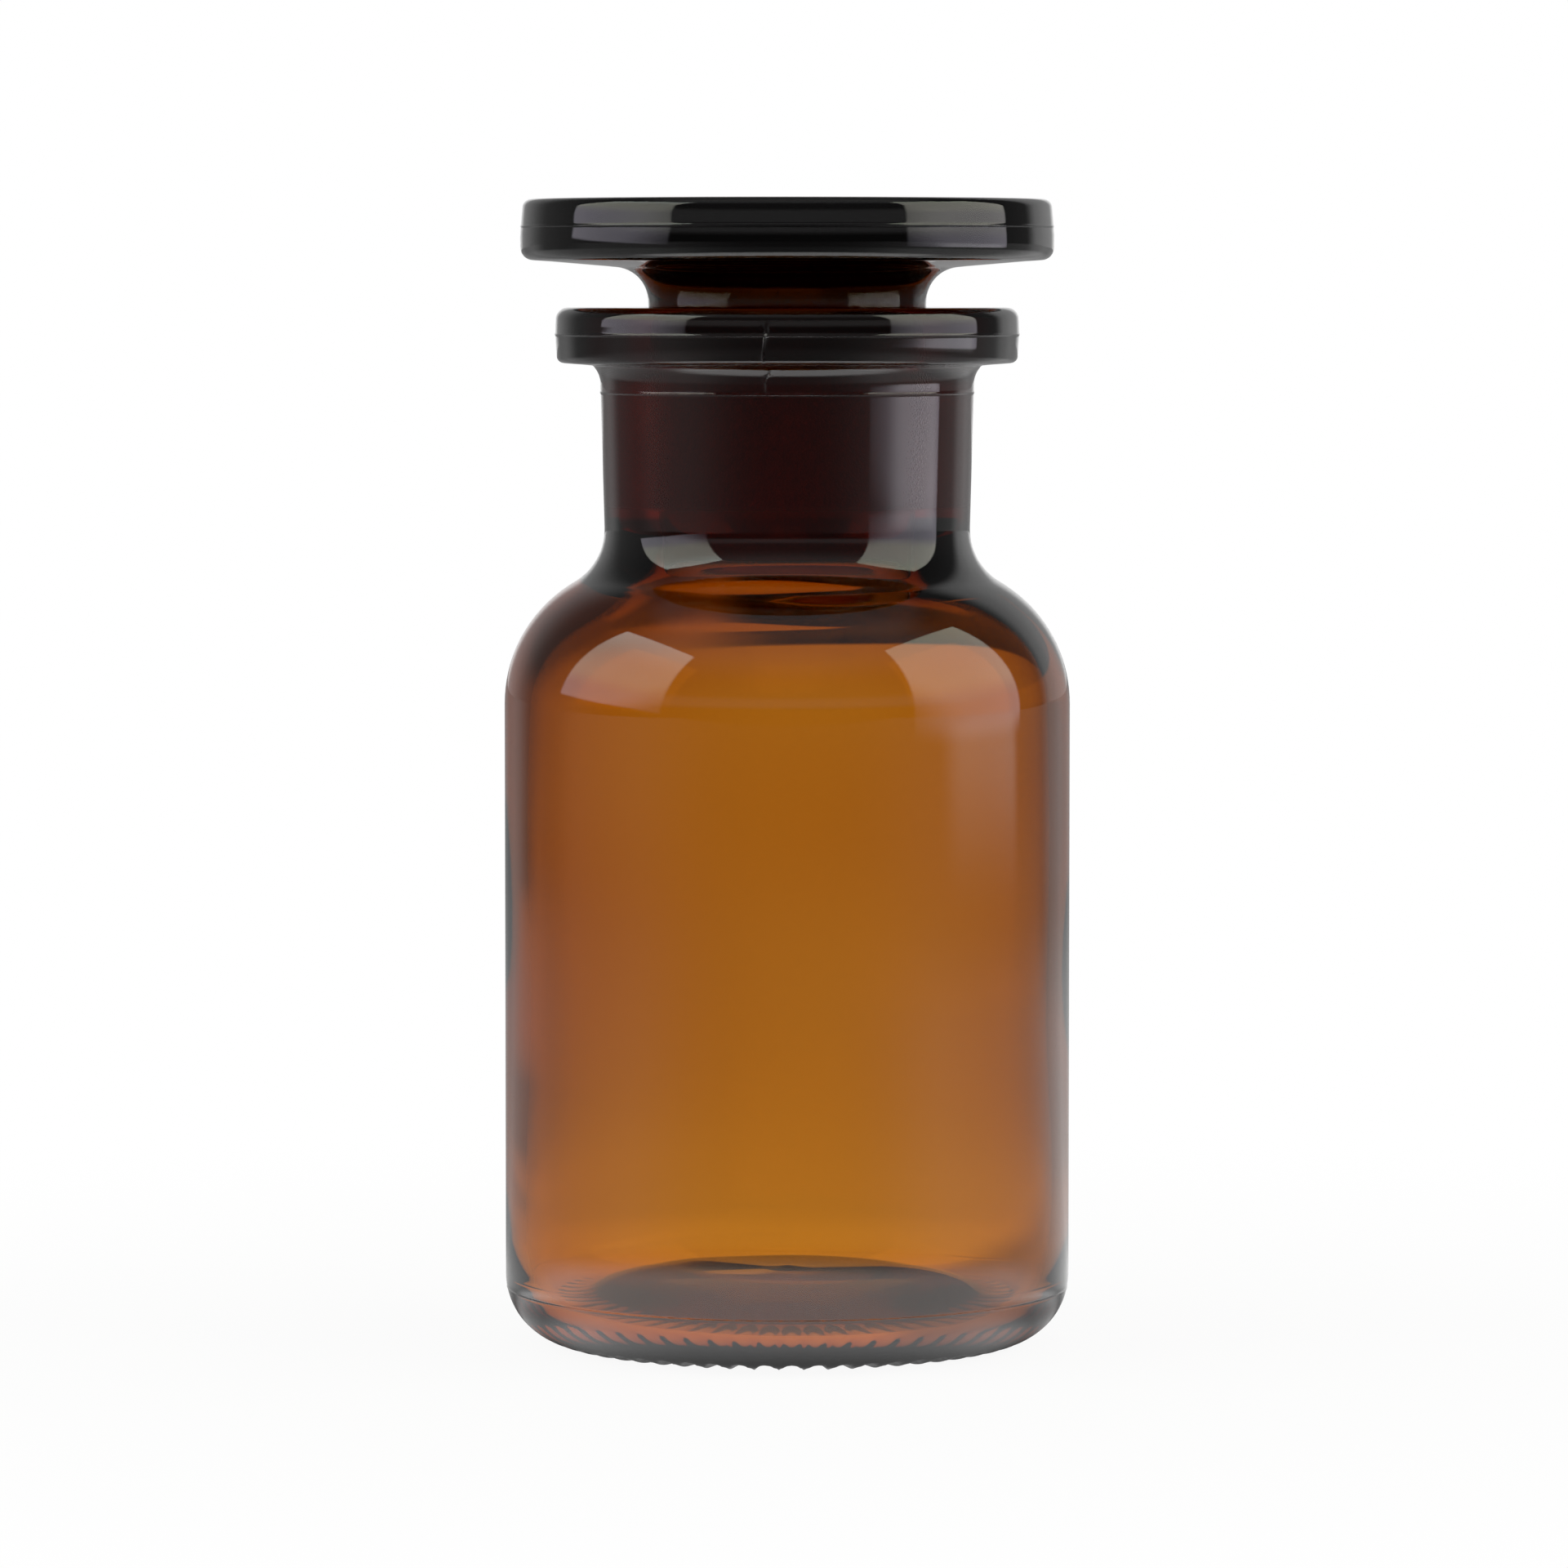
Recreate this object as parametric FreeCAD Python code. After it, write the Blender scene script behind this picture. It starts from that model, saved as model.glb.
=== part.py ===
import FreeCAD, Part
import math
import os

# Amber wide-mouth reagent bottle, 250 ml size, with a flat-headed glass stopper seated in its neck.
# Millimetres and degrees. The bottle stands on z = 0 with its axis on +Z, and its front faces -Y.

# Body and shoulder: the roof inside is rounded tighter than the shoulder and starts lower
body_diameter = 70.0
body_wall = 2.8
straight_wall_height = 70.9
heel_radius = 8.5
shoulder_radius = 17.4
roof_radius = 14.0
roof_drop = 0.4

# Base: pushed up inside a flat bearing ring, which is knurled with radial flutes
# The floor inside is a flat-topped mound with a rounded valley between it and the wall
bearing_width = 3.5
push_up_rise = 4.5
base_thickness = 5.0
mound_flat_diameter = 24.0
valley_thickness = 4.0
inner_heel_radius = 4.6
flute_count = 58
flute_depth = 0.8
land_width = 0.35
first_land_turn = -2.1

# Neck and its collar
waist_diameter = 45.2
neck_foot_radius = 7.6
neck_length = 20.2
neck_draft = 1.6
neck_top_fillet = 0.8
collar_diameter = 57.3
collar_height = 7.15
collar_underside_slope = 4.0
collar_draft = 0.2
collar_seam_height = 3.3
collar_top_radius = 1.5
collar_bottom_radius = 0.9

# Ground joint: plug and socket share one taper, a diameter loss of 1 in taper_run
joint_diameter = 34.5
joint_stand = 2.0
taper_run = 10.0
ground_gap = 0.04
plug_length = 33.5
mouth_radius = 0.8
throat_radius = 12.6

# Stopper head, stem and hollow
head_diameter = 65.9
head_thickness = 7.4
head_draft = 0.35
head_band_height = 3.0
head_crown = 0.12
head_top_radius = 1.1
head_bottom_radius = 1.6
finger_gap = 4.65
underside_slope = 4.7
stem_fillet = 4.2
hollow_diameter = 21.0
hollow_depth = 28.0
hollow_draft = 1.5
hollow_ceiling_radius = 7.0
plug_tip_radius = 1.2

# Levels and radii that follow from the sizes above
body_radius = body_diameter / 2
inner_radius = body_radius - body_wall
bearing_outer_radius = body_radius - heel_radius
bearing_inner_radius = bearing_outer_radius - bearing_width
floor_z = push_up_rise + base_thickness
shoulder_z = heel_radius + straight_wall_height
waist_radius = waist_diameter / 2
curve_reach = shoulder_radius + neck_foot_radius
curve_turn = math.acos(1 - (body_radius - waist_radius) / curve_reach)
waist_z = shoulder_z + curve_reach * math.sin(curve_turn)
collar_z = waist_z + neck_length
mouth_z = collar_z + collar_height
joint_z = mouth_z + joint_stand
cone_slope = 1 / (2 * taper_run)


def point(r, z):
    """A point of a profile: r out from the axis, z up."""
    return FreeCAD.Vector(r, 0, z)


def on_circle(centre, radius, angle):
    """The point of a circle at an angle measured from the outward direction, upward."""
    return centre + point(radius * math.cos(angle), radius * math.sin(angle))


def line(start, end):
    return Part.LineSegment(start, end).toShape()


def arc(start, through, end):
    return Part.Arc(start, through, end).toShape()


def arc_about(centre, radius, first, last):
    """The arc of a circle between two angles."""
    middle = (first + last) / 2
    return arc(on_circle(centre, radius, first), on_circle(centre, radius, middle), on_circle(centre, radius, last))


def dome(rise_at_axis, edge):
    """A shallow cap from the axis to its edge, as one arc that is level on the axis."""
    rise = rise_at_axis - edge.z
    radius = (rise**2 + edge.x**2) / (2 * abs(rise))
    half_way = edge.x / 2
    drop = radius - math.sqrt(radius**2 - half_way**2)
    return arc(point(0, rise_at_axis), point(half_way, rise_at_axis - math.copysign(drop, rise)), edge)


def round_corner(before, corner, after, radius):
    """Start, middle and end of the arc that rounds a corner."""
    back = (before - corner).normalize()
    ahead = (after - corner).normalize()
    half = back.getAngle(ahead) / 2
    run = radius / math.tan(half)
    inward = (back + ahead).normalize()
    middle = corner + inward * (radius / math.sin(half) - radius)
    return corner + back * run, middle, corner + ahead * run


def rounded_path(start, corners, end):
    """Straight runs from start to end, with each (corner, radius) between them rounded."""
    stops = [start] + [corner for corner, radius in corners] + [end]
    edges = []
    pen = start
    for number, (corner, radius) in enumerate(corners, 1):
        first, middle, last = round_corner(stops[number - 1], corner, stops[number + 1], radius)
        edges += [line(pen, first), arc(first, middle, last)]
        pen = last
    return edges + [line(pen, end)]


def turned(edges):
    """The solid that a closed profile sweeps once round the axis."""
    return Part.Face(Part.Wire(edges)).revolve(point(0, 0), FreeCAD.Vector(0, 0, 1), 360)


def cone_radius(z, gap):
    """Radius of the ground taper at a level, widened by a gap."""
    return joint_diameter / 2 - (joint_z - z) * cone_slope + gap


def base_and_wall():
    """Underside of the base, bearing ring, heel and straight wall, from the axis up to the shoulder."""
    ring_edge = point(bearing_inner_radius, 0)
    heel_start = point(bearing_outer_radius, 0)
    heel_centre = point(bearing_outer_radius, heel_radius)
    heel = arc_about(heel_centre, heel_radius, -math.pi / 2, 0)
    wall = line(point(body_radius, heel_radius), point(body_radius, shoulder_z))
    return [dome(push_up_rise, ring_edge), line(ring_edge, heel_start), heel, wall]


def shoulder_and_neck():
    """Shoulder, hollow curve into the waist, drafted neck and collar, up to the lip of the mouth."""
    draft = math.radians(neck_draft)
    crown_centre = point(body_radius - shoulder_radius, shoulder_z)
    foot_centre = point(waist_radius + neck_foot_radius, waist_z)
    crown = arc_about(crown_centre, shoulder_radius, 0, curve_turn)
    foot = arc_about(foot_centre, neck_foot_radius, math.pi + curve_turn, math.pi - draft)
    neck_start = on_circle(foot_centre, neck_foot_radius, math.pi - draft)
    neck_top = point(neck_start.x + (collar_z - neck_start.z) * math.tan(draft), collar_z)
    collar_radius = collar_diameter / 2
    foot_radius = collar_radius - collar_draft
    underside = collar_z + (foot_radius - neck_top.x) * math.tan(math.radians(collar_underside_slope))
    seam = point(collar_radius, mouth_z - collar_seam_height)
    collar_foot = [(neck_top, neck_top_fillet), (point(foot_radius, underside), collar_bottom_radius)]
    lip = point(cone_radius(mouth_z, ground_gap), mouth_z)
    lip_round = round_corner(point(collar_radius, mouth_z), lip, socket_foot(), mouth_radius)
    collar_top = [(point(collar_radius, mouth_z), collar_top_radius)]
    collar = rounded_path(neck_start, collar_foot, seam) + rounded_path(seam, collar_top, lip_round[0])
    return [crown, foot] + collar + [arc(*lip_round)]


def roof_centre():
    """Centre of the curve that rounds the roof of the body into its inner wall."""
    return point(inner_radius - roof_radius, shoulder_z - roof_drop)


def throat_centre():
    """Centre of the curve that leads from the foot of the socket into the roof of the body."""
    reach = roof_radius + throat_radius
    offset = throat_radius * math.hypot(1, cone_slope)
    start = cone_radius(roof_centre().z, ground_gap) + offset - roof_centre().x
    across = 1 + cone_slope**2
    along = start * cone_slope
    rise = (math.sqrt(along**2 - across * (start**2 - reach**2)) - along) / across
    return roof_centre() + point(start + cone_slope * rise, rise)


def socket_foot():
    """Lowest point of the ground socket, where the throat curve starts."""
    return on_circle(throat_centre(), throat_radius, math.pi - math.atan(cone_slope))


def socket_and_roof():
    """Ground socket, throat and roof, from the lip of the mouth to the top of the inner wall."""
    lip = point(cone_radius(mouth_z, ground_gap), mouth_z)
    lip_end = round_corner(point(collar_diameter / 2, mouth_z), lip, socket_foot(), mouth_radius)[2]
    across = throat_centre() - roof_centre()
    turn = math.atan2(across.z, across.x)
    throat = arc_about(throat_centre(), throat_radius, math.pi - math.atan(cone_slope), math.pi + turn)
    roof = arc_about(roof_centre(), roof_radius, turn, 0)
    return [line(lip_end, socket_foot()), throat, roof]


def inner_wall_and_floor():
    """Inner wall, valley and mound of the floor, from the roof to the axis. Valley and mound meet smoothly."""
    valley_centre = point(inner_radius - inner_heel_radius, valley_thickness + inner_heel_radius)
    flat_edge = point(mound_flat_diameter / 2, floor_z)
    across = valley_centre.x - flat_edge.x
    drop = floor_z - valley_centre.z
    mound_radius = (across**2 + drop**2 - inner_heel_radius**2) / (2 * (inner_heel_radius + drop))
    mound_centre = flat_edge - point(0, mound_radius)
    lean = math.atan2(valley_centre.z - mound_centre.z, across)
    wall = line(point(inner_radius, roof_centre().z), point(inner_radius, valley_centre.z))
    valley = arc_about(valley_centre, inner_heel_radius, 0, lean - math.pi)
    mound = arc_about(mound_centre, mound_radius, lean, math.pi / 2)
    return [wall, valley, mound, line(flat_edge, point(0, floor_z))]


def flute_cutters():
    """One slim cone per flute, lying along a radius below the bearing ring and narrowing to the axis."""
    middle_radius = (bearing_inner_radius + bearing_outer_radius) / 2
    pitch = 2 * math.pi * middle_radius / flute_count
    half_width = (pitch - land_width) / 2
    cutter_radius = (half_width**2 + flute_depth**2) / (2 * flute_depth)
    sink = cutter_radius - flute_depth
    near = bearing_inner_radius * math.sqrt(max(0, 1 - 2 * flute_depth / push_up_rise))
    cutters = []
    for number in range(flute_count):
        angle = math.radians(first_land_turn - 90) + (number + 0.5) * 2 * math.pi / flute_count
        along = FreeCAD.Vector(middle_radius * math.cos(angle), middle_radius * math.sin(angle), -sink)
        start = along * (near / middle_radius)
        near_radius = cutter_radius * near / middle_radius
        far_radius = cutter_radius * body_radius / middle_radius
        length = along.Length * (body_radius - near) / middle_radius
        cutters.append(Part.makeCone(near_radius, far_radius, length, start, along))
    return cutters


def make_bottle():
    """The blown bottle, turned as one wall and then fluted under its bearing ring."""
    inside = socket_and_roof() + inner_wall_and_floor()
    axis = line(point(0, floor_z), point(0, push_up_rise))
    vessel = turned(base_and_wall() + shoulder_and_neck() + inside + [axis])
    return vessel.cut(flute_cutters())


def head_and_stem(plug_tip):
    """Flat head, its underside, the hollow curve under it and the ground plug, from the axis to the tip."""
    head_radius = head_diameter / 2
    slope = math.tan(math.radians(underside_slope))
    root_z = mouth_z + finger_gap
    root = point(cone_radius(root_z, 0), root_z)
    underside = root_z + (head_radius - root.x) * slope
    top = underside + head_thickness
    rim = point(head_radius - head_draft, top)
    band = point(head_radius, underside + head_band_height)
    crown_edge = point(rim.x - 2 * head_top_radius, top)
    upper = rounded_path(crown_edge, [(rim, head_top_radius)], band)
    lower_corners = [
        (point(head_radius, underside), head_bottom_radius),
        (root, stem_fillet),
        (plug_tip, plug_tip_radius),
    ]
    lower = rounded_path(band, lower_corners, point(plug_tip.x - 2 * plug_tip_radius, plug_tip.z))
    return [dome(top + head_crown, crown_edge)] + upper + lower, top + head_crown


def plug_hollow(plug_tip):
    """The hollow pressed up into the plug from its tip, drafted and round at its ceiling."""
    mouth = point(hollow_diameter / 2, plug_tip.z)
    ceiling_z = plug_tip.z + hollow_depth
    shrink = hollow_depth * math.tan(math.radians(hollow_draft))
    ceiling_edge = point(mouth.x - shrink, ceiling_z)
    start = point(plug_tip.x - 2 * plug_tip_radius, plug_tip.z)
    corners = [(mouth, plug_tip_radius), (ceiling_edge, hollow_ceiling_radius)]
    return rounded_path(start, corners, point(0, ceiling_z)), ceiling_z


def make_stopper():
    """The pressed stopper, seated in the socket with its head a finger's gap above the collar."""
    tip_z = joint_z - plug_length
    plug_tip = point(cone_radius(tip_z, 0), tip_z)
    outside, top = head_and_stem(plug_tip)
    hollow, ceiling_z = plug_hollow(plug_tip)
    return turned(outside + hollow + [line(point(0, ceiling_z), point(0, top))])


os.makedirs("parts", exist_ok=True)
make_bottle().exportStep("parts/bottle.step")
make_stopper().exportStep("parts/stopper.step")
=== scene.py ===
import bpy
import numpy as np
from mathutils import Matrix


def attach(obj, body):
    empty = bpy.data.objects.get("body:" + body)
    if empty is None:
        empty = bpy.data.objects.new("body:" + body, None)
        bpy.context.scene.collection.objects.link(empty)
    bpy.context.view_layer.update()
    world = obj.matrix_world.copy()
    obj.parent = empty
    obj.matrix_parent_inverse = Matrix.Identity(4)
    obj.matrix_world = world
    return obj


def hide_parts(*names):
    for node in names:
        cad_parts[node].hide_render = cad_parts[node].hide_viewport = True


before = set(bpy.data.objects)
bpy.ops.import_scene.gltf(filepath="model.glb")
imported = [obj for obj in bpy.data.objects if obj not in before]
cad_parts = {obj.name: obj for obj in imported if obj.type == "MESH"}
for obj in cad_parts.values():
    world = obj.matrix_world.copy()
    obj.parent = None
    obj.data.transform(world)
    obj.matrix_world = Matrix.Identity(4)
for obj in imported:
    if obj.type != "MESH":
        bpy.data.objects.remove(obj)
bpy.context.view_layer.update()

# Bottle
# One piece of amber glass, blown in a two-part mould: knurled bearing ring under a pushed-up base, rounded
# heel, straight body, shoulder, neck and flat collar. Its bore is ground to a taper that the plug seats in.
millimetre = 0.001
body_radius = 35.0
body_wall = 2.8
heel_radius = 8.5
shoulder_z = 79.4
shoulder_radius = 17.4
roof_radius = 14.0
roof_drop = 0.4
bearing_width = 3.5
push_up_rise = 4.5
floor_z = 9.5
mound_flat_radius = 12.0
valley_z = 4.0
inner_heel_radius = 4.6
flute_count = 58
flute_depth = 0.8
land_width = 0.35
first_land_turn = -92.1
columns_per_flute = 6
waist_radius = 22.6
neck_foot_radius = 7.6
neck_length = 20.2
neck_draft = 1.6
neck_flare_radius = 3.0
neck_flare_turn = 35.0
neck_flare_run = 0.5
neck_top_fillet = 0.6
collar_radius = 28.65
collar_height = 7.15
collar_draft = 0.2
collar_top_draft = 0.1
collar_underside_rise = 0.37
collar_seam_drop = 3.3
collar_top_radius = 1.5
collar_bottom_radius = 0.9
lip_radius = 0.8
throat_radius = 12.6
joint_radius = 17.25
joint_stand = 2.0
cone_slope = 0.05
ground_gap = 0.04


def arc(centre, radius, start, end, steps):
    """Points of a circle: its centre plus the radius times the cosine and sine of evenly spaced turns."""
    turn = np.radians(np.linspace(start, end, steps))
    return np.stack([centre[0] + radius * np.cos(turn), centre[1] + radius * np.sin(turn)], axis=1)


def straight(start, end, steps):
    """Points of a straight run: even shares of the way from start to end."""
    share = np.linspace(0, 1, steps)[:, None]
    return np.asarray(start, float) * (1 - share) + np.asarray(end, float) * share


def rounded(before, corner, after, radius, steps):
    """Points of the arc that rounds a corner: it touches both legs, with its centre on their bisector."""
    before, corner, after = (np.asarray(point, float) for point in (before, corner, after))
    back = (before - corner) / np.linalg.norm(before - corner)
    ahead = (after - corner) / np.linalg.norm(after - corner)
    half = np.arccos(np.clip(back @ ahead, -1, 1)) / 2
    inward = (back + ahead) / np.linalg.norm(back + ahead)
    centre = corner + inward * radius / np.sin(half)
    swing = (np.pi / 2 - half) * np.linspace(-1, 1, steps)[:, None]
    across = (ahead - back) / np.linalg.norm(ahead - back)
    return centre + radius * (np.sin(swing) * across - np.cos(swing) * inward)


def cap(axis_z, edge, steps):
    """Points of a shallow dome: height falls with the square of the distance from the axis."""
    share = np.linspace(0, 1, steps)
    return np.stack([edge[0] * share, axis_z + (edge[1] - axis_z) * share**2], axis=1)


def with_seam_rows(outline, level, reach, rows):
    """The outline with extra rows round the first place where it climbs past a level, by length along it."""
    along = np.concatenate([[0], np.cumsum(np.linalg.norm(np.diff(outline, axis=0), axis=1))])
    first = np.argmax(outline[:, 1] > level)
    share = (level - outline[first - 1, 1]) / (outline[first, 1] - outline[first - 1, 1])
    seam = along[first - 1] + share * (along[first] - along[first - 1])
    extra = seam + reach * np.linspace(-1, 1, rows)
    stops = np.sort(np.concatenate([along, extra]))
    stops = stops[np.diff(stops, prepend=-1) > 1e-4]
    return np.stack([np.interp(stops, along, outline[:, 0]), np.interp(stops, along, outline[:, 1])], axis=1)


def ridge(distance, height, half_width):
    """A raised seam's section: its height times a bell curve of the distance from its middle."""
    return height * np.exp(-((distance / half_width) ** 2))


def surface_normals(points, along, turn):
    """Unit normals of a turned grid: the slope round the axis crossed with the slope along the outline."""
    wrapped = np.concatenate([points[:, -1:], points, points[:, :1]], axis=1)
    turns = np.concatenate([[turn[-1] - 2 * np.pi], turn, [turn[0] + 2 * np.pi]])
    around = np.gradient(wrapped, turns, axis=1)[:, 1:-1]
    normals = np.cross(around, np.gradient(points, along, axis=0))
    return normals / np.maximum(np.linalg.norm(normals, axis=2, keepdims=True), 1e-12)


def placed(name, data):
    """A new object in the scene that shows this mesh, lamp or camera."""
    thing = bpy.data.objects.new(name, data)
    bpy.context.scene.collection.objects.link(thing)
    return thing


def turned_mesh(name, outline, turn, points):
    """A closed mesh from a grid of rows along an outline and columns round the axis.

    The first and last rows lie on the axis and become one vertex each, closed by a fan of triangles.
    """
    rows, columns = points.shape[:2]
    along = np.concatenate([[0], np.cumsum(np.linalg.norm(np.diff(outline, axis=0), axis=1))])
    normals = surface_normals(points, along, turn)
    vertices = np.concatenate([points[:1, 0], points[1:-1].reshape(-1, 3), points[-1:, 0]])
    poles = np.array([[0, 0, np.sign(normals[row, :, 2].sum())] for row in (1, -2)])
    directions = np.concatenate([poles[:1], normals[1:-1].reshape(-1, 3), poles[1:]])
    column = np.arange(columns)
    following = (column + 1) % columns
    row = 1 + np.arange(rows - 3)[:, None] * columns
    corners = [row + column, row + following, row + columns + following, row + columns + column]
    quads = np.stack(corners, axis=2)
    last_row = 1 + (rows - 3) * columns
    bottom_fan = np.stack([np.zeros(columns, int), 1 + following, 1 + column], axis=1)
    last_vertex = np.full(columns, len(vertices) - 1)
    top_fan = np.stack([last_vertex, last_row + column, last_row + following], axis=1)
    faces = quads.reshape(-1, 4).tolist() + bottom_fan.tolist() + top_fan.tolist()
    mesh = bpy.data.meshes.new(name)
    mesh.from_pydata((vertices * millimetre).tolist(), [], faces)
    mesh.polygons.foreach_set("use_smooth", np.ones(len(mesh.polygons), bool))
    mesh.normals_split_custom_set_from_vertices(directions.tolist())
    return placed(name, mesh)


def ground_share(piece, ground_rows, columns):
    """Marks how far each vertex is ground: one number per row of the grid, the same all round it."""
    share = np.concatenate([ground_rows[:1], np.repeat(ground_rows[1:-1], columns), ground_rows[-1:]])
    piece.data.attributes.new("ground", "FLOAT", "POINT").data.foreach_set("value", share.astype(np.float32))


def taper_radius(height, mouth_z):
    """Radius of the plug's ground taper: it shrinks evenly with the depth below the joint's wide end."""
    return joint_radius - (mouth_z + joint_stand - height) * cone_slope


def bottle_outline():
    """The bottle's section as rows of (radius, height): lines and tangent arcs from base to mouth to floor.

    Returns the outside rows, the inside rows, the heights of the mouth and of the neck's waist, and the
    number of rows in the ground bore.
    """
    ring_inner = body_radius - heel_radius - bearing_width
    heel_centre = (body_radius - heel_radius, heel_radius)
    base = np.concatenate([
        cap(push_up_rise, (ring_inner, 0), 28)[[*range(0, 22, 4), *range(22, 28)]],
        straight((ring_inner, 0), (heel_centre[0], 0), 6)[1:],
        arc(heel_centre, heel_radius, -90, -60, 11)[1:],
        arc(heel_centre, heel_radius, -60, 0, 16)[1:],
    ])
    reach = shoulder_radius + neck_foot_radius
    swing = np.degrees(np.arccos(1 - (body_radius - waist_radius) / reach))
    waist_z = shoulder_z + reach * np.sin(np.radians(swing))
    foot_centre = (waist_radius + neck_foot_radius, waist_z)
    shoulder_centre = (body_radius - shoulder_radius, shoulder_z)
    wall = straight((body_radius, heel_radius), (body_radius, shoulder_z), 15)[1:]
    shoulder = arc(shoulder_centre, shoulder_radius, 0, swing, 20)[1:]
    foot = arc(foot_centre, neck_foot_radius, 180 + swing, 180 - neck_draft, 15)[1:]
    collar_z = waist_z + neck_length
    mouth_z = collar_z + collar_height
    flare_rise = neck_flare_radius * (np.sin(np.radians(neck_flare_turn)) - np.sin(np.radians(neck_draft)))
    flare_z = collar_z - flare_rise - neck_flare_run
    flare_start = foot[-1, 0] + (flare_z - foot[-1, 1]) * np.tan(np.radians(neck_draft))
    flare_centre = (flare_start + neck_flare_radius * np.cos(np.radians(neck_draft)),
                    flare_z - neck_flare_radius * np.sin(np.radians(neck_draft)))
    flare = arc(flare_centre, neck_flare_radius, 180 - neck_draft, 180 - neck_flare_turn, 9)
    neck_top = flare[-1] + (collar_z - flare[-1, 1]) * np.array([np.tan(np.radians(neck_flare_turn)), 1])
    collar_foot = (collar_radius - collar_draft, collar_z + collar_underside_rise)
    seam = (collar_radius, mouth_z - collar_seam_drop)
    fillet = rounded(flare[-1], neck_top, collar_foot, neck_top_fillet, 7)
    lower_edge = rounded(neck_top, collar_foot, seam, collar_bottom_radius, 7)
    collar_top = (collar_radius - collar_top_draft, mouth_z)
    upper_edge = rounded(seam, collar_top, (0, mouth_z), collar_top_radius, 8)
    lip_corner = (taper_radius(mouth_z, mouth_z) + ground_gap, mouth_z)
    bore_foot = (taper_radius(shoulder_z, mouth_z) + ground_gap, shoulder_z)
    lip = rounded((collar_radius, mouth_z), lip_corner, bore_foot, lip_radius, 6)
    neck = np.concatenate([
        straight(foot[-1], flare[0], 8)[1:-1],
        flare,
        fillet,
        straight(fillet[-1], lower_edge[0], 4)[1:-1],
        lower_edge,
        straight(lower_edge[-1], seam, 3)[1:],
        straight(seam, upper_edge[0], 3)[1:-1],
        upper_edge,
        straight(upper_edge[-1], lip[0], 5)[1:-1],
        lip,
    ])
    outside = np.concatenate([base, wall, shoulder, foot, neck])
    inner_radius = body_radius - body_wall
    roof_centre = (inner_radius - roof_radius, shoulder_z - roof_drop)
    bore_radius = taper_radius(roof_centre[1], mouth_z) + ground_gap
    across = bore_radius + throat_radius * np.hypot(1, cone_slope) - roof_centre[0]
    lead = across * cone_slope
    square = 1 + cone_slope**2
    rise = (np.sqrt(lead**2 - square * (across**2 - (roof_radius + throat_radius) ** 2)) - lead) / square
    throat_centre = (roof_centre[0] + across + cone_slope * rise, roof_centre[1] + rise)
    bend = np.degrees(np.arctan2(rise, across + cone_slope * rise))
    throat = arc(throat_centre, throat_radius, 180 - np.degrees(np.arctan(cone_slope)), 180 + bend, 20)
    valley_centre = (inner_radius - inner_heel_radius, valley_z + inner_heel_radius)
    reach = valley_centre[0] - mound_flat_radius
    drop = floor_z - valley_centre[1]
    mound_radius = (reach**2 + drop**2 - inner_heel_radius**2) / (2 * (inner_heel_radius + drop))
    mound_centre = (mound_flat_radius, floor_z - mound_radius)
    lean = np.degrees(np.arctan2(valley_centre[1] - mound_centre[1], reach))
    bore = straight(lip[-1], throat[0], 9)[1:-1]
    inside = np.concatenate([
        bore,
        throat,
        arc(roof_centre, roof_radius, bend, 0, 18)[1:],
        straight((inner_radius, roof_centre[1]), (inner_radius, valley_centre[1]), 16)[1:-1],
        arc(valley_centre, inner_heel_radius, 0, lean - 180, 16),
        arc(mound_centre, mound_radius, lean, 90, 14)[1:],
        straight((mound_flat_radius, floor_z), (0, floor_z), 9)[1:],
    ])
    return outside, inside, mouth_z, waist_z, len(bore)


heel_seam_z = 6.9
neck_ring_z = 117.9
seam_height = 0.09
seam_half_width = 0.12
seam_reach = 3 * seam_half_width
seam_rows = 9
outside, inside, mouth_z, waist_z, bore_rows = bottle_outline()
collar_seam_z = mouth_z - collar_seam_drop
for seam_level in (heel_seam_z, neck_ring_z, collar_seam_z):
    outside = with_seam_rows(outside, seam_level, seam_reach, seam_rows)
bottle_section = np.concatenate([outside, inside])

parting_turn = np.radians(-95.9)
parting_reach = 0.6
parting_spread = np.radians(np.linspace(-parting_reach, parting_reach, seam_rows))
parting_turns = parting_turn + np.concatenate([parting_spread, np.pi + parting_spread])
column_count = flute_count * columns_per_flute
even_turns = np.radians(first_land_turn) + 2 * np.pi * np.arange(column_count) / column_count
bottle_turns = np.sort(np.concatenate([even_turns, parting_turns]) % (2 * np.pi))
wave_count = 5
wave_lengths = (28, 80)


def swell(turn, height, seed):
    """Slow unevenness of blown glass: a sum of waves round and along the axis, about 1 at its strongest."""
    draw = np.random.default_rng(seed)
    lobes = np.arange(1, wave_count + 1)[:, None, None]
    phases = draw.uniform(0, 2 * np.pi, (2, wave_count, 1, 1))
    lengths = draw.uniform(*wave_lengths, (wave_count, 1, 1))
    waves = np.cos(lobes * turn + phases[0]) * np.cos(2 * np.pi * height / lengths + phases[1]) / lobes**0.5
    return waves.sum(axis=0) / 2


def fluted(radius, height, turn):
    """The underside raised to the flutes' arches, which lie along radii and widen with the distance out.

    Across a flute the arch is a circle's height above its chord. A soft maximum rounds the lands' edges.
    """
    ring_middle = body_radius - heel_radius - bearing_width / 2
    pitch = 2 * np.pi / flute_count
    half_width = (pitch * ring_middle - land_width) / 2
    arch_radius = (half_width**2 + flute_depth**2) / (2 * flute_depth)
    from_land = (turn - np.radians(first_land_turn)) / pitch
    across = (from_land - np.floor(from_land) - 0.5) * pitch * ring_middle
    arch = np.sqrt(np.maximum(arch_radius**2 - across**2, 0)) - (arch_radius - flute_depth)
    arch = arch * radius / ring_middle
    softness = 0.05
    return (height + arch + np.sqrt((height - arch) ** 2 + softness**2)) / 2 - softness / 2


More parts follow.
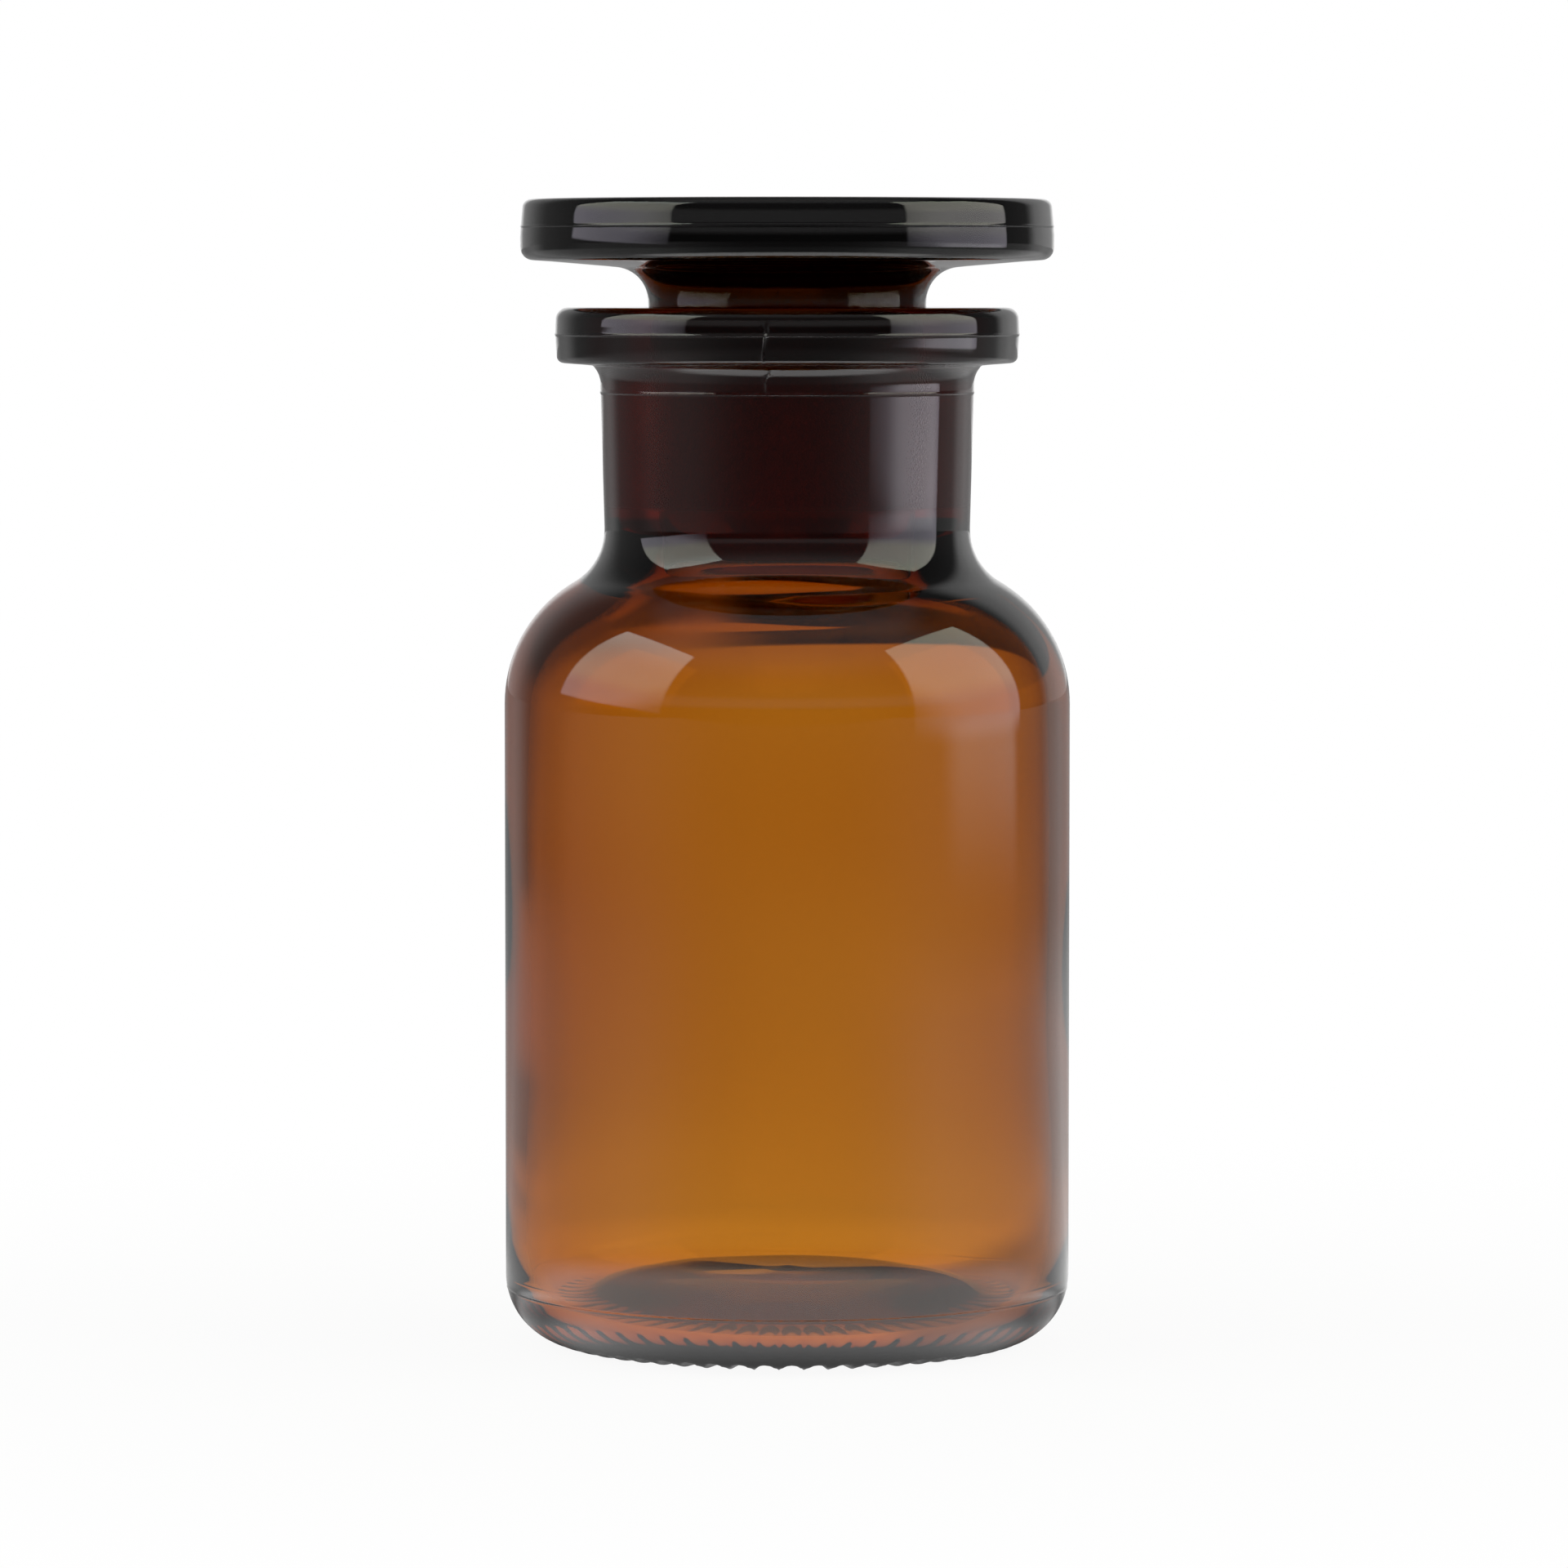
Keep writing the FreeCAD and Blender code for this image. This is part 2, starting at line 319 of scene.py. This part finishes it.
def smooth_step(value, start, end):
    """0 up to start, 1 from end on, and between them the cubic 3 s s - 2 s s s of the share s of the way."""
    share = np.clip((value - start) / (end - start), 0, 1)
    return share**2 * (3 - 2 * share)


heel_seam_share = 0.6
parting_height = 0.12
parting_half_width = 0.13
wide_waver = 0.012
wide_waver_rate = 1.7
fine_waver = 0.006
fine_waver_rate = 4.1
wall_seed = 7
wall_unevenness = 0.2
calm_radius = 12.0
calm_below_waist = 4.0
calm_run = 6.0
left_thickening = 0.14
left_thickening_rise = (10, 20)
lower_thinning = 0.35
lower_thinning_top = (40, 16)
lower_thinning_foot = (6, 10)
throat_lift_right = 0.35
throat_lift_left = 0.7
throat_lift_side = (0.3, 0.75)
throat_lift_radii = (28, 19)
throat_lift_heights = (104, 97)
roof_from = 84.0
nub_height = 0.35
nub_radius = 1.6


def seam_shift(radius, height, turn):
    """How far the mould's seams stand out: bell-shaped rings at three heights, and wavering parting lines.

    A parting line runs from the neck ring to the collar's top, and wavers as two sine waves of the height.
    """
    rings = ridge(height - heel_seam_z, heel_seam_share * seam_height, seam_half_width)
    for level in (collar_seam_z, neck_ring_z):
        rings = rings + ridge(height - level, seam_height, seam_half_width)
    waver = wide_waver * np.sin(height * wide_waver_rate) + fine_waver * np.sin(height * fine_waver_rate)
    to_parting = np.abs((turn - parting_turn + waver + np.pi / 2) % np.pi - np.pi / 2) * radius
    on_finish = np.clip(height - neck_ring_z, 0, 1) * np.clip(mouth_z - collar_top_radius - height, 0, 1)
    return rings + on_finish * ridge(to_parting, parting_height, parting_half_width)


def wall_shift(radius, height, turn):
    """How much thicker the glass is inside: slow waves, more to the left, less just above the base."""
    uneven = wall_unevenness * swell(turn, height, wall_seed)
    uneven = uneven - left_thickening * np.cos(turn) * smooth_step(height, *left_thickening_rise)
    from_axis = np.clip(radius / calm_radius, 0, 1)
    below_throat = np.clip((waist_z - calm_below_waist - height) / calm_run, 0, 1)
    thinner = lower_thinning * smooth_step(height, *lower_thinning_top)
    thinner = thinner * smooth_step(height, *lower_thinning_foot)
    return uneven * from_axis * below_throat - thinner


def inner_lift(radius, height, turn):
    """How far the inside is raised: the throat, most on its left, and a bell-shaped nub on the floor."""
    to_the_left = smooth_step((1 - np.cos(turn)) / 2, *throat_lift_side)
    lift = throat_lift_right + (throat_lift_left - throat_lift_right) * to_the_left
    lift = lift * smooth_step(radius, *throat_lift_radii) * smooth_step(height, *throat_lift_heights)
    nub = ridge(radius, nub_height, nub_radius)
    return np.where(height > roof_from, lift, nub)


def bottle_points():
    """The bottle's grid: its section turned about the axis, shifted along its normals, and fluted below."""
    radius = bottle_section[:, :1] + 0 * bottle_turns
    height = bottle_section[:, 1:] + 0 * bottle_turns
    turn = 0 * radius + bottle_turns
    slope = np.gradient(bottle_section, axis=0)
    out = np.stack([slope[:, 1], -slope[:, 0]], axis=1)
    out = out / np.linalg.norm(out, axis=1, keepdims=True)
    is_outside = (np.arange(len(bottle_section)) < len(outside))[:, None]
    shift = np.where(is_outside, seam_shift(radius, height, turn), wall_shift(radius, height, turn))
    lift = np.where(is_outside, 0, inner_lift(radius, height, turn))
    radius = radius + shift * out[:, :1]
    height = height + shift * out[:, 1:] + lift
    height = np.where(is_outside & (height < heel_radius / 2), fluted(radius, height, turn), height)
    return np.stack([radius * np.cos(turn), radius * np.sin(turn), height], axis=2)


bottle = turned_mesh("bottle_glass", bottle_section, bottle_turns, bottle_points())
bore_share = np.zeros(len(bottle_section))
bore_share[len(outside) + 1:len(outside) + bore_rows + 1] = 1
ground_share(bottle, bore_share, len(bottle_turns))


class Socket:
    """An output of a shader node, or only its tree. Arithmetic with numbers or sockets adds Math nodes."""

    def __init__(self, tree, output=None):
        self.tree = tree
        self.output = output

    def node(self, kind, settings=None, sockets=None, output=0):
        """A new node of this kind: its settings are set first, then each named socket's value or link."""
        made = self.tree.nodes.new(kind)
        for name, value in (settings or {}).items():
            setattr(made, name, value)
        for name, value in (sockets or {}).items():
            if isinstance(value, Socket):
                self.tree.links.new(value.output, made.inputs[name])
            else:
                made.inputs[name].default_value = value
        return Socket(self.tree, made.outputs[output] if len(made.outputs) else None)

    def twin(self, output):
        """Another output of the node that this one belongs to."""
        return Socket(self.tree, self.output.node.outputs[output])

    def math(self, operation, first, second):
        """A Math node on two values or sockets."""
        return self.node("ShaderNodeMath", {"operation": operation}, {0: first, 1: second})

    def __add__(self, other):
        return self.math("ADD", self, other)

    __radd__ = __add__

    def __sub__(self, other):
        return self.math("SUBTRACT", self, other)

    def __rsub__(self, other):
        return self.math("SUBTRACT", other, self)

    def __mul__(self, other):
        return self.math("MULTIPLY", self, other)

    __rmul__ = __mul__

    def __truediv__(self, other):
        return self.math("DIVIDE", self, other)

    def __rtruediv__(self, other):
        return self.math("DIVIDE", other, self)


def empty_tree(holder):
    """The node tree of a material, lamp or world, switched on and emptied."""
    holder.use_nodes = True
    holder.node_tree.nodes.clear()
    return Socket(holder.node_tree)


glass_index = 1.52
polished = 0.015
ground = 0.42
amber_tint = (0.836, 0.621, 0.02)
amber_density = 960.0
cloud_scale = 160.0
least_matting = 0.7
matting_spread = 0.6
grit_scale = 5000.0
grit_relief = 0.00002
ripple_scale = 70.0
ripple_relief = 0.00001


def amber_glass(name):
    """Clear amber glass that darkens with the depth of glass looked through, matt where it is ground."""
    material = bpy.data.materials.new(name)
    tree = empty_tree(material)
    place = tree.node("ShaderNodeTexCoord", output="Object")
    ground_mask = tree.node("ShaderNodeAttribute", {"attribute_name": "ground"}, output="Fac")
    cloud = tree.node("ShaderNodeTexNoise", None, {"Vector": place, "Scale": cloud_scale, "Detail": 3.0})
    grit = tree.node("ShaderNodeTexNoise", None, {"Vector": place, "Scale": grit_scale, "Detail": 1.0})
    ripple = tree.node("ShaderNodeTexNoise", None, {"Vector": place, "Scale": ripple_scale, "Detail": 1.0})
    roughness = polished + ground_mask * (ground - polished) * (least_matting + matting_spread * cloud)
    relief = ground_mask * grit * grit_relief + ripple * ripple_relief
    bump = tree.node("ShaderNodeBump", None, {"Height": relief, "Strength": 1.0, "Distance": 1.0})
    surface = tree.node("ShaderNodeBsdfPrincipled", None, {
        "Base Color": (1, 1, 1, 1),
        "Roughness": roughness,
        "IOR": glass_index,
        "Transmission Weight": 1.0,
        "Normal": bump,
    })
    depth = tree.node("ShaderNodeVolumeAbsorption", None, {
        "Color": (*amber_tint, 1),
        "Density": amber_density,
    })
    tree.node("ShaderNodeOutputMaterial", None, {"Surface": surface, "Volume": depth})
    return material


bottle.data.materials.append(amber_glass("amber_bottle_glass"))
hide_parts("bottle")
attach(bottle, "bottle")

# Stopper
# One piece of amber glass, pressed: a flat disc head with a seam round its edge, a hollow-sided stem and a
# plug ground to the bore's taper. The plug is hollow and open below, to keep its walls even.
head_radius = 32.95
head_thickness = 7.4
head_draft = 0.35
head_band_height = 3.0
head_crown = 0.12
head_top_radius = 1.1
head_bottom_radius = 1.6
head_seam_drop = 3.35
head_edge_depth = 1.0
finger_gap = 4.65
underside_slope = 4.7
stem_fillet = 4.2
plug_length = 33.5
hollow_radius = 10.5
hollow_depth = 28.0
hollow_draft = 1.5
hollow_ceiling_radius = 7.0
plug_tip_radius = 1.2
ground_tip_rows = 3
ground_stop_below_mouth = 2.0
stopper_columns = 360


def stopper_outline():
    """The stopper's section as rows of (radius, height): lines and arcs from hollow to plug to head.

    Returns the rows, the height of the head's top, the first ground row and the first one after it that is
    clear again.
    """
    root = (taper_radius(mouth_z + finger_gap, mouth_z), mouth_z + finger_gap)
    underside = root[1] + (head_radius - root[0]) * np.tan(np.radians(underside_slope))
    top = underside + head_thickness
    edge = (head_radius - head_draft, top)
    band = (head_radius, underside + head_band_height)
    head_foot = (head_radius, underside)
    tip_z = mouth_z + joint_stand - plug_length
    tip = (taper_radius(tip_z, mouth_z), tip_z)
    mouth = (hollow_radius, tip_z)
    ceiling_z = tip_z + hollow_depth
    ceiling = (hollow_radius - hollow_depth * np.tan(np.radians(hollow_draft)), ceiling_z)
    vault = rounded((0, ceiling_z), ceiling, mouth, hollow_ceiling_radius, 14)
    hollow_lip = rounded(ceiling, mouth, tip, plug_tip_radius, 7)
    tip_edge = rounded(mouth, tip, root, plug_tip_radius, 7)
    stem = rounded(tip, root, head_foot, stem_fillet, 14)
    foot_edge = rounded(root, head_foot, band, head_bottom_radius, 9)
    top_edge = rounded(band, edge, (0, top), head_top_radius, 8)
    plug = straight(tip_edge[-1], stem[0], 18)[1:-1]
    before_plug = np.concatenate([
        straight((0, ceiling_z), vault[0], 4)[:-1],
        vault,
        straight(vault[-1], hollow_lip[0], 8)[1:-1],
        hollow_lip,
        straight(hollow_lip[-1], tip_edge[0], 3)[1:-1],
        tip_edge,
    ])
    after_plug = np.concatenate([
        stem,
        straight(stem[-1], foot_edge[0], 8)[1:-1],
        foot_edge,
        straight(foot_edge[-1], band, 3)[1:],
        straight(band, top_edge[0], 5)[1:-1],
        top_edge,
        cap(top + head_crown, top_edge[-1], 12)[::-1][1:],
    ])
    ground_from = len(before_plug) - ground_tip_rows
    ground_to = len(before_plug) + np.count_nonzero(plug[:, 1] < mouth_z - ground_stop_below_mouth)
    return np.concatenate([before_plug, plug, after_plug]), top, ground_from, ground_to


stopper_section, head_top_z, ground_from, ground_to = stopper_outline()
head_seam_z = head_top_z - head_seam_drop
stopper_section = with_seam_rows(stopper_section, head_seam_z, seam_reach, seam_rows)
stopper_turns = 2 * np.pi * np.arange(stopper_columns) / stopper_columns


def stopper_points():
    """The stopper's grid: its section turned about the axis, with the raised seam round the head."""
    radius = stopper_section[:, :1] + 0 * stopper_turns
    height = stopper_section[:, 1:] + 0 * stopper_turns
    turn = 0 * radius + stopper_turns
    on_edge = radius > head_radius - head_edge_depth
    radius = radius + ridge(height - head_seam_z, seam_height, seam_half_width) * on_edge
    return np.stack([radius * np.cos(turn), radius * np.sin(turn), height], axis=2)


stopper = turned_mesh("stopper_glass", stopper_section, stopper_turns, stopper_points())
plug_share = np.zeros(len(stopper_section))
plug_share[ground_from:ground_to] = 1
ground_share(stopper, plug_share, stopper_columns)
stopper.data.materials.append(amber_glass("amber_stopper_glass"))
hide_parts("stopper")
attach(stopper, "stopper")

# Floor
# A broad white table. The camera sees it as white as the backdrop, with the bottle's faint contact shadow.
# To the glass it glows with painted light and shade: a painted pool of light round the foot, painted
# shadow beside and under the heel and under the base, painted shade in front, and paler to the sides.
floor_half = 4.0
floor_drop = 0.0001
contact_share = 0.93
contact_reach = 0.25
# A painted pool of light round the foot, brighter than white, that only the glass sees.
painted_pool_centre = (0.0, -0.025, 0.0)
painted_pool_reach = (0.088, 0.135)
painted_pool_glow = 2.1
matt_white = (0.8, 0.8, 0.8, 1)
floor_mesh = bpy.data.meshes.new("floor")
floor_signs = ((-1, -1), (1, -1), (1, 1), (-1, 1))
floor_corners = [(x * floor_half, y * floor_half, -floor_drop) for x, y in floor_signs]
floor_mesh.from_pydata(floor_corners, [], [(0, 1, 2, 3)])
table = placed("floor", floor_mesh)


def climb(value, start, end, low, high):
    """A node that goes smoothly from low to high while a value goes from start to end."""
    return value.node("ShaderNodeMapRange", {"interpolation_type": "SMOOTHSTEP"}, {
        "Value": value, "From Min": start, "From Max": end, "To Min": low, "To Max": high,
    })


def seen_behind(backwards):
    """What the glass passes on by bearing: white straight behind, dim beside that, pale all round."""
    return climb(backwards, 0.55, 0.72, 0.9, 0.38) + climb(backwards, 0.84, 1.08, 0.0, 0.66)


def ray_masks(tree):
    """Three masks that are 1 for rays straight from the camera, through glass, and off a glossy surface."""
    from_camera = tree.node("ShaderNodeLightPath", output="Is Camera Ray")
    return from_camera, from_camera.twin("Is Transmission Ray"), from_camera.twin("Is Glossy Ray")


def glow_by_ray(seen_by_camera, seen_through, passed, others):
    """White for rays straight from the camera, one glow for rays through glass and one for all others."""
    return seen_by_camera + (1 - seen_by_camera) * (seen_through * passed + (1 - seen_through) * others)


def painted_table_mirror_glow(place, reach, sideways, backwards):
    """Painted light and shade on the table for what the glass mirrors: a painted pool of light round the
    foot, painted shadow beside and under the heel, painted shade in front, paler to the sides, and painted
    softbox light far out on the right.

    Reach is the distance from the bottle's axis in metres, sideways and backwards are the sine and cosine of
    the bearing, and a brightness is a share of white.
    """
    far_left = climb(backwards, 0.0, 0.35, 0.3, 0.18) + climb(backwards, 0.6, 0.78, 0.0, 0.22)
    left = climb(reach, 0.4, 0.9, 0.5, far_left)
    near_right = climb(backwards, 0.3, 0.7, 0.65, 0.9)
    far_right = climb(backwards, 0.55, 0.7, 0.3, 0.55)
    # Painted light of the right softbox, lying on the table far out to the right.
    painted_sheen = climb(backwards, -0.47, -0.25, 0.0, 1.0) * climb(backwards, 0.2, 0.3, 1.0, 0.0)
    painted_sheen = painted_sheen * climb(reach, 0.65, 1.3, 0.0, 0.95) * climb(reach, 1.6, 3.8, 1.0, 0.0)
    right = climb(reach, 0.38, 0.72, near_right, far_right) + painted_sheen
    in_front = climb(reach, 0.5, 1.1, 0.14, 0.08)
    around = climb(backwards, -1.05, -0.4, in_front, climb(sideways, -0.5, 0.5, left, right))
    around = around * climb(backwards, 0.8, 0.93, 1.0, 0.65)
    # A painted pool of light round the foot, fading out beside and behind it.
    ends = {0: place, 1: painted_pool_centre}
    to_painted_pool = place.node("ShaderNodeVectorMath", {"operation": "DISTANCE"}, ends, "Value")
    at_foot = climb(backwards, 0.1, 0.4, 1.0, 0.0)
    beside = climb(reach, 0.05, 0.08, at_foot, climb(backwards, -0.2, 0.35, 1.0, 0.1))
    painted_pool = climb(to_painted_pool, *painted_pool_reach, 1.0, 0.0) * beside
    # Painted contact shadow beside and behind the foot, and painted shadow under the heel.
    painted_contact_shadow = climb(reach, 0.036, 0.065, climb(backwards, -0.7, -0.2, 1.0, 0.25), 1.0)
    painted_heel_shadow = climb(reach, 0.029, 0.036, 0.12, 1.0)
    return (around + painted_pool * (painted_pool_glow - around)) * painted_contact_shadow * painted_heel_shadow


def painted_table_through_glow(reach, sideways, backwards):
    """Painted light and shade on the table for what the glass passes on: a painted pool of light round the
    foot, a painted shadow of the bottle under its base, painted light to the left, then shares by bearing.
    """
    # A painted pool of light round the foot, with a painted shadow of the bottle under its base.
    painted_foot_glow = climb(backwards, -1.0, -0.6, 1.4, climb(reach, 0.07, 0.15, 1.15, 0.95))
    painted_base_shadow = climb(reach, 0.02, 0.034, 0.35, 1.0)
    painted_foot_glow = painted_foot_glow * painted_base_shadow * climb(sideways, 0.35, 0.6, 1.0, 0.5)
    # Painted light on the table to the left.
    painted_left_light = climb(sideways, -0.6, -0.3, 0.45, 0.0)
    painted_left_light = painted_left_light * climb(reach, 0.28, 0.4, 0.0, 1.0) * climb(reach, 0.4, 0.7, 1.0, 0.0)
    beyond = seen_behind(backwards) * climb(sideways, 0.2, 0.5, 1.0, 0.75) + painted_left_light
    return climb(reach, 0.12, 0.45, painted_foot_glow, beyond)


def white_table_with_painted_glow():
    """White for the camera, matt white for the lamps, and painted light and shade for what glass
    mirrors or passes.
    """
    material = bpy.data.materials.new("white_table_with_painted_glow")
    tree = empty_tree(material)
    seen_by_camera, seen_through, seen_in_gloss = ray_masks(tree)
    place = tree.node("ShaderNodeTexCoord", output="Object")
    reach = tree.node("ShaderNodeVectorMath", {"operation": "LENGTH"}, {0: place}, "Value")
    to_right = tree.node("ShaderNodeSeparateXYZ", None, {0: place}, "X")
    sideways = to_right / reach
    backwards = to_right.twin("Y") / reach
    mirrored = painted_table_mirror_glow(place, reach, sideways, backwards)
    passed = painted_table_through_glow(reach, sideways, backwards)
    glow = glow_by_ray(seen_by_camera, seen_through, passed, mirrored)
    share = seen_by_camera * climb(reach, 0.03, contact_reach, contact_share, 1.0)
    share = share + (1 - seen_by_camera) * tree.math("MAXIMUM", seen_through, seen_in_gloss)
    matt = tree.node("ShaderNodeBsdfDiffuse", None, {"Color": matt_white})
    white = tree.node("ShaderNodeEmission", None, {"Color": glow, "Strength": 1.0})
    shown = tree.node("ShaderNodeMixShader", None, {0: share, 1: matt, 2: white})
    tree.node("ShaderNodeOutputMaterial", None, {"Surface": shown})
    return material


floor_mesh.materials.append(white_table_with_painted_glow())

# Backdrop and lamps
# A white backdrop behind the bottle, a dim room in front of it, and two large softboxes, one on each side,
# whose reflections lie on the shoulder, neck, collar and head.
room_level = 0.5
world = bpy.data.worlds.new("studio")
bpy.context.scene.world = world


def room_mirrored(to_right, to_back, upward):
    """What the glass mirrors of the room: dim in front, paler to the sides and behind, faint overhead.

    A direction is given as its shares to the right, to the back and upward.
    """
    low_front = climb(upward, 0.06, 0.13, 0.05, 0.3) * climb(upward, 0.18, 0.26, 1.0, 0.35)
    front = low_front + climb(upward, 0.4, 0.8, 0.0, 0.28)
    left = climb(to_back, 0.6, 0.88, 0.18, 0.4)
    right = climb(to_back, 0.58, 0.73, 0.12, 0.67) * climb(to_back, 0.8, 0.93, 1.0, 0.8)
    sides = climb(to_right, -0.5, 0.5, left, right) * climb(upward, 0.0, 1.0, 1.0, 0.5)
    back = sides + climb(to_back, 0.94, 0.985, 0.0, 0.45)
    overhead = climb(to_back, -0.3, 0.0, 0.0, 0.15) * climb(upward, 0.8, 0.88, 0.0, 1.0)
    return climb(to_back, -0.3, 0.2, front, back) + overhead


def backdrop_passed(to_right, to_back, upward):
    """What the glass passes on of the backdrop: shares by bearing, up to a top edge, sharp on the right."""
    level = to_back.math("POWER", 1.0 - upward * upward, 0.5)
    left_edge = climb(upward, 0.09, 0.26, 1.0, 0.25)
    right_edge = climb(upward, 0.128, 0.145, 1.0, 0.0)
    above = climb(upward, 0.36, 0.45, 0.0, 0.8) * climb(to_right * to_right, 0.02, 0.06, 1.0, 0.0)
    edge = climb(to_right, -0.06, -0.01, left_edge, right_edge) + above
    return seen_behind(to_back / level) * edge


def studio(tree):
    """Brightness by direction: white for the camera, and a glow for what glass mirrors or passes."""
    seen_by_camera, seen_through, seen_in_gloss = ray_masks(tree)
    direction = tree.node("ShaderNodeTexCoord", output="Generated")
    to_right = tree.node("ShaderNodeSeparateXYZ", None, {0: direction}, "X")
    to_back = to_right.twin("Y")
    upward = to_right.twin("Z")
    mirrored = room_mirrored(to_right, to_back, upward)
    passed = backdrop_passed(to_right, to_back, upward)
    others = seen_in_gloss * mirrored + (1 - seen_in_gloss) * room_level
    glow = glow_by_ray(seen_by_camera, seen_through, passed, others)
    backdrop = tree.node("ShaderNodeBackground", None, {"Color": glow, "Strength": 1.0})
    tree.node("ShaderNodeOutputWorld", None, {"Surface": backdrop})


studio(empty_tree(world))


def mixed(share, first, second):
    """A colour that goes from the first to the second as a share goes from 0 to 1.

    The node's inputs 6 and 7 and its output 2 are the ones for colours.
    """
    inputs = {"Factor": share, 6: first, 7: second}
    return share.node("ShaderNodeMix", {"data_type": "RGBA"}, inputs, 2)


softbox_distance = 0.6
side_fade = 0.04
end_fade = 0.03
front_corner_share = 0.15
front_corner_reach = 0.55
low_band = (0.12, 0.32)
high_band = (0.5, 1.0)


def softbox(name, azimuth, width, low, high, roll, low_glow, middle_glow, high_glow):
    """An upright lamp that faces the bottle's axis, from a low to a high edge, with softened edges.

    Azimuth is in degrees from the front towards +X, and roll lowers the edge at the greater azimuth. The
    light fades towards the low front corner, and changes colour from the low edge to the high one.
    """
    lamp = bpy.data.lights.new(name, "AREA")
    lamp.shape = "RECTANGLE"
    lamp.size = width
    lamp.size_y = high - low
    lamp.energy = np.pi * lamp.size * lamp.size_y
    tree = empty_tree(lamp)
    place = tree.node("ShaderNodeNewGeometry", output="Parametric")
    across = tree.node("ShaderNodeSeparateXYZ", None, {0: place}, output="X")
    up = across.twin("Y")
    fade = climb(across, 0.0, side_fade, 0.0, 1.0) * climb(across, 1.0 - side_fade, 1.0, 1.0, 0.0)
    fade = fade * climb(up, 0.0, end_fade, 0.0, 1.0) * climb(up, 1.0 - end_fade, 1.0, 1.0, 0.0)
    from_front = across if azimuth > 0 else 1.0 - across
    fade = fade * climb(from_front + up, 0.0, front_corner_reach, front_corner_share, 1.0)
    glow = mixed(climb(up, *low_band, 0.0, 1.0), low_glow, middle_glow)
    glow = mixed(climb(up, *high_band, 0.0, 1.0), glow, high_glow)
    colour = mixed(fade, (0, 0, 0, 1), glow)
    light = tree.node("ShaderNodeEmission", None, {"Color": colour, "Strength": 1.0})
    tree.node("ShaderNodeOutputLight", None, {"Surface": light})
    box = placed(name, lamp)
    turn = np.radians(azimuth)
    box.location = (softbox_distance * np.sin(turn), -softbox_distance * np.cos(turn), (low + high) / 2)
    box.rotation_euler = (np.pi / 2, np.radians(roll), turn)
    box.visible_camera = False


lavender = (1.5, 1.42, 1.65, 1)
left_middle = (2.25, 2.25, 1.95, 1)
left_top = (3.0, 3.3, 3.0, 1)
right_middle = (2.5, 2.45, 2.15, 1)
right_top = (2.3, 2.5, 2.0, 1)
softbox("left_softbox", -75, 0.62, 0.11, 0.735, 6.4, lavender, left_middle, left_top)
softbox("right_softbox", 79, 0.65, 0.045, 0.79, 0, lavender, right_middle, right_top)

# Camera
# A long lens a little below the head's top, looking slightly down, as the bottle is seen in the photograph.
view_distance = 0.96
view_height = 0.1326
view_offset = -0.0004
view_pitch = 3.77
lens = 178.1
camera_data = bpy.data.cameras.new("camera")
camera_data.lens = lens
camera_data.sensor_width = 36.0
camera = placed("camera", camera_data)
camera.location = (view_offset, -view_distance, view_height)
camera.rotation_euler = (np.radians(90 - view_pitch), 0, 0)
scene = bpy.context.scene
scene.camera = camera
scene.view_settings.view_transform = "Standard"
scene.cycles.max_bounces = 32
scene.cycles.transmission_bounces = 32
scene.cycles.glossy_bounces = 16
